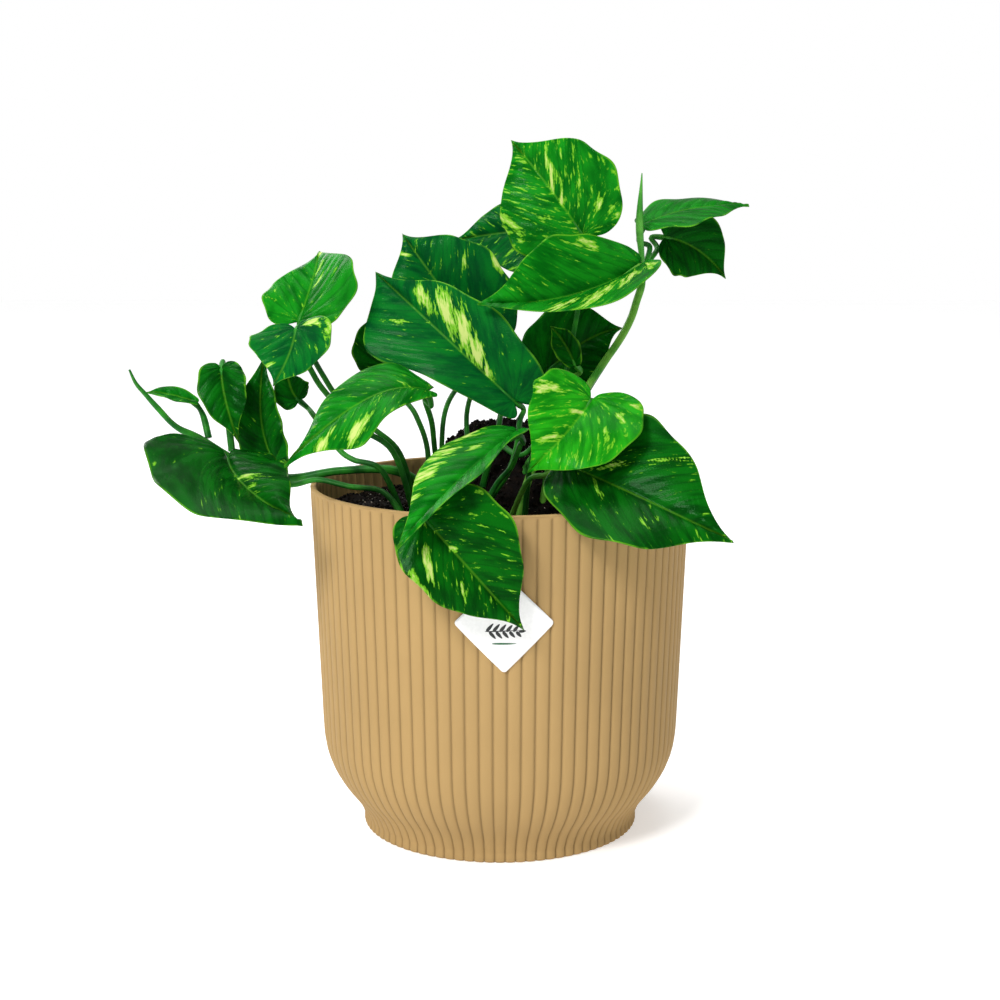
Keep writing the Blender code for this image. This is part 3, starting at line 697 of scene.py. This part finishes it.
def joined(shapes):
    """Several (points, faces) as one."""
    points, faces, first = [], [], 0
    for shape_points, shape_faces in shapes:
        points.append(shape_points)
        faces += [tuple(index + first for index in face) for face in shape_faces]
        first += len(shape_points)
    return np.vstack(points), faces


def build_label():
    """A diamond with rounded corners, and a plain sprig printed across its middle."""
    reach = (LABEL_SIDE / 2 - LABEL_CORNER) * math.sqrt(2)
    corner = []
    for quarter in range(4):
        start = quarter * math.pi / 2
        centre = reach * direction(start + math.pi / 4)
        for more in np.linspace(0, math.pi / 2, CORNER_POINTS):
            corner.append(centre + LABEL_CORNER * direction(start + more))
    x, y = np.array(corner).T
    diamond = np.stack([x - y, x + y], -1) / math.sqrt(2)
    following = np.roll(diamond, -1, 0)
    counts = 4 * ([1] * (CORNER_POINTS - 1) + [SIDE_POINTS])
    edge = np.concatenate([np.linspace(a, b, count, endpoint=False)
                           for a, b, count in zip(diamond, following, counts)])
    mesh_object("sticker", *plate(edge, 12, LABEL_CLEARANCE, LABEL_THICKNESS), label_material(),
                "label", ["pot_label"])
    mesh_object("sticker_sprig", *sprig(**SPRIG_MM), ink_material(SPRIG_BLACK), "label")
    mesh_object("sticker_line", *leaflet(**LINE_MM), ink_material(SPRIG_GREEN), "label")


def direction(angle):
    return np.array([math.cos(angle), math.sin(angle)])


def sprig(start, length, pairs):
    """A printed twig with leaves in pairs, shorter towards its tip, in millimetres."""
    size = length / pairs
    shapes = [leaflet(start, 2, length, 0.02 * length)]
    for i in range(pairs):
        x, reach = start[0] + (i + 0.25) * size * 0.95, (1.55 - 0.09 * i) * size
        shapes.append(leaflet((x, start[1]), 50, reach, 0.30 * size))
        shapes.append(leaflet((x + 0.4 * size, start[1]), -48, reach * 0.9, 0.30 * size))
    shapes.append(leaflet((start[0] + length * 0.96, start[1]), 4, size, 0.28 * size))
    return joined(shapes)


def leaflet(start, degrees, length, half_width):
    """A pointed printed leaf, in millimetres from the sticker's centre."""
    t = turn(28)
    x = length * (1 - np.cos(t)) / 2
    y = half_width * np.sin(t) * (0.75 + 0.25 * np.cos(t))
    a = math.radians(degrees)
    outline = np.stack([start[0] + x * math.cos(a) - y * math.sin(a),
                        start[1] + x * math.sin(a) + y * math.cos(a)], -1) * MM
    return plate(outline, 4, LABEL_CLEARANCE + LABEL_THICKNESS, SPRIG_PROUD)


# ---------------------------------------------------------------- soil

def rough(x, y, size, seed):
    """A lumpy field of about -1 to 1 with lumps of this size, from seeded waves."""
    waves = np.random.default_rng(seed)
    total = np.zeros_like(x)
    for _ in range(9):
        heading = waves.uniform(0, 2 * math.pi)
        pitch = size * waves.uniform(0.6, 1.6)
        phase = waves.uniform(0, 2 * math.pi)
        along = x * math.cos(heading) + y * math.sin(heading)
        total += np.sin(2 * math.pi * along / pitch + phase)
    return total / 4


def soil_height(x, y):
    """The soil's height, with the clod heaped round the roots."""
    away = np.hypot(x - MOUND_CENTRE[0], y - MOUND_CENTRE[1]) / MOUND_RADIUS
    heap = MOUND_HEIGHT * np.exp(-away ** 4)
    lumps = 0.7 * MM * np.sin(x / (8 * MM) + 1) * np.cos(y / (10 * MM))
    crumble = rough(x, y, 7 * MM, 3) * 0.5 * MM + rough(x, y, 2.6 * MM, 5) * 0.35 * MM
    return SOIL_LEVEL + heap + lumps + crumble * (1 + heap / (14 * MM))


def build_soil():
    wall = np.linspace(SOIL_LEVEL, FOOT_HEIGHT + POT_FLOOR + 0.3 * MM, SOIL_WALL_ROWS + 1)
    radii = body_radius(wall) - POT_WALL - SOIL_CLEARANCE
    angle = turn(SOIL_STEPS)
    top = radii[0] * np.linspace(1 / SOIL_RINGS, 1, SOIL_RINGS)
    x, y = top[:, None] * np.cos(angle), top[:, None] * np.sin(angle)
    surface = np.stack([x, y, soil_height(x, y)], -1).reshape(-1, 3)
    height = np.broadcast_to(wall[1:, None], (SOIL_WALL_ROWS, SOIL_STEPS))
    side = np.stack([radii[1:, None] * np.cos(angle), radii[1:, None] * np.sin(angle), height], -1)
    side = side.reshape(-1, 3)
    middle = np.zeros(1)
    points = np.vstack([surface, side, (0, 0, soil_height(middle, middle)[0]), (0, 0, wall[-1])])
    rows = SOIL_RINGS + SOIL_WALL_ROWS
    faces = grid_faces(rows, SOIL_STEPS, wrap=True, flip=True)
    faces += closing_faces(rows, SOIL_STEPS, len(points) - 2, len(points) - 1, flip=True)
    mesh_object("soil_bed", points, faces, soil_material("peat", *PEAT), "soil", ["soil"])


def scatter(name, count, sizes, material, flatten):
    """Small angular lumps strewn over the soil, as one piece."""
    golden = (1 + math.sqrt(5)) / 2
    corners = np.array([(s, t * golden, 0) for s in (-1, 1) for t in (-1, 1)])
    corners = unit(np.vstack([corners, np.roll(corners, 1, 1), np.roll(corners, 2, 1)]))
    faces = icosahedron_faces(corners)
    reach = body_radius(SOIL_LEVEL) - POT_WALL - SOIL_CLEARANCE - 0.8 * MM
    radius = reach * np.sqrt(RANDOM.uniform(0, 1, count))
    angle = RANDOM.uniform(0, 2 * math.pi, count)
    x, y = radius * np.cos(angle), radius * np.sin(angle)
    size = RANDOM.uniform(*sizes, count)
    centre = np.stack([x, y, soil_height(x, y) + size * 0.15], -1)
    points = np.empty((count, len(corners), 3))
    for i in range(count):
        spin = np.linalg.qr(RANDOM.normal(size=(3, 3)))[0]
        stretch = RANDOM.uniform(0.6, 1.1, 3) * (1, 1, flatten)
        bumps = RANDOM.uniform(0.75, 1.15, (len(corners), 1))
        lump = corners * bumps * stretch @ spin
        points[i] = centre[i] + lump * size[i]
    first = np.arange(count) * len(corners)
    triangles = (np.array(faces)[None] + first[:, None, None]).reshape(-1, 3)
    obj = mesh_object(name, points.reshape(-1, 3), triangles.tolist(), material, "soil")
    obj.data.shade_flat()


def icosahedron_faces(corners):
    """The triangles of an icosahedron, from its corners, facing out."""
    near = np.linalg.norm(corners[:, None] - corners[None], axis=-1) < 1.1
    faces = []
    for i, j, k in itertools.combinations(range(len(corners)), 3):
        if near[i, j] and near[j, k] and near[i, k]:
            out = np.dot(np.cross(corners[j] - corners[i], corners[k] - corners[i]), corners[i])
            faces.append((i, j, k) if out > 0 else (i, k, j))
    return faces


# ---------------------------------------------------------------- leaves

def half_rows(outline):
    """Share of length and of half width over half a blade, in rows from the midrib to the edge."""
    outline = np.array(outline, float)
    notch = NOTCH_POINTS / (len(outline) - 1)
    u = np.linspace(0, 1, BLADE_ROWS, endpoint=False)[:, None]
    v = np.linspace(0, 1, BLADE_COLUMNS + 1)[None, :]
    edge = smooth_path(outline, notch + (1 - notch) * u)
    near_tip = np.clip((edge[..., 0] - TIP_START) / TIP_REACH, 0, 1)
    edge[..., 1] *= 1 - TIP_PINCH * near_tip ** 2 * (3 - 2 * near_tip)
    notch_end = smooth_path(outline, np.array([[notch]]))
    around = smooth_path(outline, notch * v) - notch_end * v[..., None]
    middle = np.stack([u, 0 * u], -1)
    return middle * (1 - v[..., None]) + edge * v[..., None] + around * (1 - u[..., None]) ** 4


def vein_place(x_mm, y_mm):
    """Distance across the side veins, and along them, from the place on the blade: the veins run
    forward and outward in front of the stalk, and fan out into the lobes behind it."""
    out = np.abs(y_mm)
    ahead = x_mm - VEIN_SLANT * out - VEIN_CURVE * out ** 2
    first = np.arctan2(1, VEIN_SLANT + 0.7 * VEIN_CURVE * np.hypot(x_mm, out))
    behind = np.arctan2(out, x_mm) - first
    return np.where(behind > 0, LOBE_PITCH_MM * behind, np.maximum(ahead, 0)), out * VEIN_RUN


def blade_relief(leaf, x, y, v, seed):
    """How far the blade stands off its plain surface: crowned halves, side veins, a wavy edge."""
    looks = leaf.looks
    widths = np.array(leaf.half_widths, float)[(y > 0).astype(int)]
    x_mm, y_mm = x * leaf.length, y * widths
    q, _ = vein_place(x_mm, y_mm)
    size = min(1, leaf.length / WHOLE_LEAF_MM)
    inner = np.clip(np.abs(v) * 5, 0, 1) * (1 - np.abs(v) ** 5)
    groove = (0.5 + 0.5 * np.cos(2 * math.pi * q / VEIN_PITCH_MM)) ** 4
    ripple = np.sin(2 * math.pi * q / (VEIN_PITCH_MM / RIPPLES) + y_mm * 0.3)
    relief = -VEIN_GROOVE_MM * groove * inner + RIPPLE_MM * ripple * inner
    relief += looks["crown"] * size * np.sin(math.pi * np.abs(v) ** 0.85)
    relief -= MIDRIB_DIP_MM * np.exp(-(y_mm / 1.3) ** 2)
    wave = np.sin(2 * math.pi * (x * looks["waves"] + seed + 0.25 * np.sign(v)))
    relief += looks["wave"] * size * wave * np.abs(v) ** 3 * (1 - np.clip(x, 0, 1) ** 3)
    return relief, q, y_mm


def splash_strength(leaf, q, w, y_mm):
    """How strongly each place turns pale: the leaf's flecks all over, and more in its splashes."""
    splash = np.full_like(q, leaf.looks["flecks"])
    for at_x, at_y, long_mm, wide_mm, strength in leaf.looks["splashes"]:
        width = leaf.half_widths[int(at_y > 0)]
        q0, w0 = vein_place(np.array(at_x * leaf.length), np.array(at_y * width))
        same_side = np.where(np.sign(y_mm) * np.sign(at_y) >= 0, 1, 0)
        field = np.exp(-((q - q0) / wide_mm) ** 2 - ((w - w0) / long_mm) ** 2)
        splash = np.maximum(splash, strength * field * same_side)
    return splash


def build_blade(leaf, index, materials):
    """A closed thin blade: its upper side, its lower side and the rim between them."""
    left, right = half_rows(leaf.outline[0]), half_rows(leaf.outline[1])
    x = np.concatenate([left[:, :0:-1, 0], right[..., 0]], 1)
    y = np.concatenate([-left[:, :0:-1, 1], right[..., 1]], 1)
    v = np.broadcast_to(np.linspace(-1, 1, 2 * BLADE_COLUMNS + 1), x.shape)
    x, y, v = (np.append(part.ravel(), end) for part, end in ((x, 1.0), (y, 0.0), (v, 0.0)))
    seed = 0.37 * index
    edge_phase = EDGE_WAVES * x + seed + 0.4 * np.sign(v)
    y = y * (1 + EDGE_WAVE * np.abs(v) ** 3 * np.sin(2 * math.pi * edge_phase))
    relief, q, y_mm = blade_relief(leaf, x, y, v, seed)
    place, normal = leaf.surface(x, y)
    midrib = MIDRIB_MM * np.exp(-(y_mm / 0.9) ** 2) * (1 - np.clip(x, 0, 1) ** 2)
    thick = BLADE_MM * (1 - 0.4 * np.abs(v)) + midrib
    top = place + normal * (relief + BLADE_MM / 2)[:, None]
    bottom = top - normal * thick[:, None]
    _, w = vein_place(x * leaf.length, y_mm)
    splash = splash_strength(leaf, q, w, y_mm)
    edge_mm = (1 - np.abs(v)) * np.array(leaf.half_widths, float)[(y > 0).astype(int)]
    count = len(x)
    columns = 2 * BLADE_COLUMNS + 1
    tip, last = count - 1, (BLADE_ROWS - 1) * columns
    faces = grid_faces(BLADE_ROWS, columns)
    faces += [(last + i, last + i + 1, tip) for i in range(columns - 1)]
    faces += [tuple(corner + count for corner in face[::-1]) for face in faces]
    rim = list(range(columns)) + [columns * r + columns - 1 for r in range(1, BLADE_ROWS)] + [tip]
    rim += [columns * r for r in range(BLADE_ROWS - 1, 0, -1)]
    faces += [(b, a, a + count, b + count) for a, b in zip(rim, rim[1:] + rim[:1])]
    vein = np.stack([q, w * np.sign(y_mm), np.full(count, 11.3 * index)], -1)
    looks = np.stack([splash, edge_mm, np.abs(y_mm)], -1)
    under = np.concatenate([np.zeros(count), np.ones(count)])
    mesh_object("blade_" + leaf.name, in_pot(np.vstack([top, bottom])), faces,
                materials[leaf.looks["tone"]], "leaf", ["leaf_" + leaf.name],
                {"vein": np.tile(vein, (2, 1)), "looks": np.tile(looks, (2, 1)), "under": under})


def tube(name, path, radii, material, slot, replaces, seed, groove, stations=64):
    """A stem along a smooth curve through plant points, with its radii on a smooth curve too and a
    shallow groove along one side."""
    t = np.linspace(0, 1, stations)
    line = smooth_path(path, t)
    radius = smooth_path(np.array(radii, float)[:, None], t)[:, 0]
    along = unit(np.gradient(line, axis=0))
    side = np.empty_like(along)
    # Any direction across the stem will do for the first ring. The rest follow without twist.
    side[0] = unit(np.cross(along[0], (0.3, 0.5, 0.8)))
    for i in range(1, stations):
        side[i] = unit(side[i - 1] - along[i] * np.dot(side[i - 1], along[i]))
    up = np.cross(along, side)
    angle = turn(STALK_SIDES)
    shape = 1 - groove * np.maximum(np.cos(angle), 0) ** 4
    ring = side[:, None] * np.cos(angle)[None, :, None] + up[:, None] * np.sin(angle)[None, :, None]
    points = line[:, None] + ring * (radius[:, None] * shape)[..., None]
    distance = np.concatenate([[0], np.cumsum(np.linalg.norm(np.diff(line, axis=0), axis=1))])
    stem = np.stack([np.broadcast_to(distance[:, None], (stations, STALK_SIDES)),
                     np.broadcast_to(np.cos(angle), (stations, STALK_SIDES)),
                     np.full((stations, STALK_SIDES), seed)], -1).reshape(-1, 3)
    faces = grid_faces(stations, STALK_SIDES, wrap=True)
    faces.append(tuple(range(STALK_SIDES))[::-1])
    faces.append(tuple((stations - 1) * STALK_SIDES + i for i in range(STALK_SIDES)))
    mesh_object(name, in_pot(points.reshape(-1, 3)), faces, material, slot, replaces,
                {"stem": stem})


def soil_above_rim(x, y):
    """The soil's height at a plant point, in millimetres above the rim."""
    return (float(soil_height(x * MM, y * MM)) - POT_HEIGHT) / MM


def build_stalk(leaf, index, material):
    """The stalk runs on under the blade as its midrib, and goes down into the soil or the vine."""
    point, along, _, up = (part[0] for part in leaf.frame(np.zeros(1)))
    ahead, _, _, ahead_up = (part[0] for part in leaf.frame(np.array([0.16])))
    path = [ahead - ahead_up * 0.55, point - up * 0.9, point - up * 4.7 - along * 4.0, *leaf.via]
    if len(leaf.root) == 3:
        path.append(leaf.root)
        foot = FOOT_RADIUS["vine"]
    else:
        level = soil_above_rim(*leaf.root)
        path += [(*leaf.root, level + FOOT_RISE), (*leaf.root, level - FOOT_DEPTH)]
        foot = FOOT_RADIUS["soil"]
    share = STALK_PROFILE
    radii = [share["under blade"], share["at blade"], share["bend"]]
    radii += [share["middle"]] * max(len(path) - 5, 0) + [share["low"], foot]
    tube("stem_" + leaf.name, path, [radius * leaf.stalk for radius in radii], material, "stalk",
         ["stalk_" + leaf.name], seed=index * 3.7, groove=0.25)


def build_vine(material):
    """The trailing stem, swollen a little at each node, with its thin growing tip."""
    root, via = VINE
    level = soil_above_rim(*root)
    path = [(*root, level - 6), (*root, level + FOOT_RISE), *via]
    tube("trailing_vine", path, VINE_RADII, material, "stalk", ["vine"], seed=91.0, groove=0.15,
         stations=150)


def build_spear(material):
    """The rolled young leaf: a tapered roll with a groove where its edges overlap."""
    tube("rolled_leaf", SPEAR, SPEAR_RADII, material, "young_leaf", ["leaf_spear"], seed=57.0,
         groove=0.45, stations=48)


# ---------------------------------------------------------------- surroundings

def build_floor():
    bpy.ops.mesh.primitive_plane_add(size=FLOOR_SIZE)
    floor = bpy.context.object
    floor.name = "floor"
    floor.data.materials.append(floor_material())


def build_sky():
    """White at the horizon and dimmer overhead."""
    world = bpy.data.worlds.new("studio")
    bpy.context.scene.world = world
    sky = Shader(world, "Background")
    up = sky.parts(sky.node("TexCoord"))[2]
    sky.set(Color=sky.mix(sky.ramp(up, *CEILING), (1, 1, 1), (SKY_LIGHT, SKY_LIGHT, SKY_LIGHT)))


def placed(name, data, place, rotation):
    obj = bpy.data.objects.new(name, data)
    bpy.context.scene.collection.objects.link(obj)
    obj.location = place
    obj.rotation_euler = rotation
    return obj


def pointing(heading):
    """Euler angles that turn a lamp's -Z along this vector."""
    x, y, z = unit(heading)
    return (math.acos(-z), 0, math.atan2(-x, y))


def add_lights():
    for name, place, aim, size, power in LIGHTS:
        lamp = bpy.data.lights.new(name, "AREA")
        lamp.shape = "RECTANGLE"
        lamp.size, lamp.size_y = size
        lamp.energy = power
        placed(name, lamp, place, pointing(np.array(aim, float) - np.array(place, float)))


def add_camera():
    camera = bpy.data.cameras.new("camera")
    camera.lens = CAMERA_LENS
    camera.sensor_width = SENSOR_WIDTH
    rotation = (math.pi / 2 - CAMERA_DOWN, 0, 0)
    bpy.context.scene.camera = placed("camera", camera, CAMERA_PLACE, rotation)
    bpy.context.scene.view_settings.view_transform = "Standard"


def main():
    build_floor()
    build_sky()
    add_lights()
    add_camera()
    build_pot()
    build_label()
    build_soil()
    scatter("soil_crumbs", CRUMBS, CRUMB_SIZES, soil_material("crumbs", *CRUMB_PEAT), 0.7)
    scatter("soil_specks", SPECKS, SPECK_SIZES, soil_material("perlite", *PERLITE), 0.8)
    tones = {tone: leaf_material("leaf_" + tone, *greens) for tone, greens in TONES.items()}
    stalks = stalk_material("stalk_green", *STALK_GREENS)
    light_stalks = stalk_material("stalk_light", *LIGHT_STALK_GREENS)
    for index, leaf in enumerate(LEAVES):
        build_blade(leaf, index, tones)
        build_stalk(leaf, index, light_stalks if leaf.name in LIGHT_STALKS else stalks)
    build_vine(stalks)
    build_spear(stalk_material("young_green", *YOUNG_GREENS))


main()
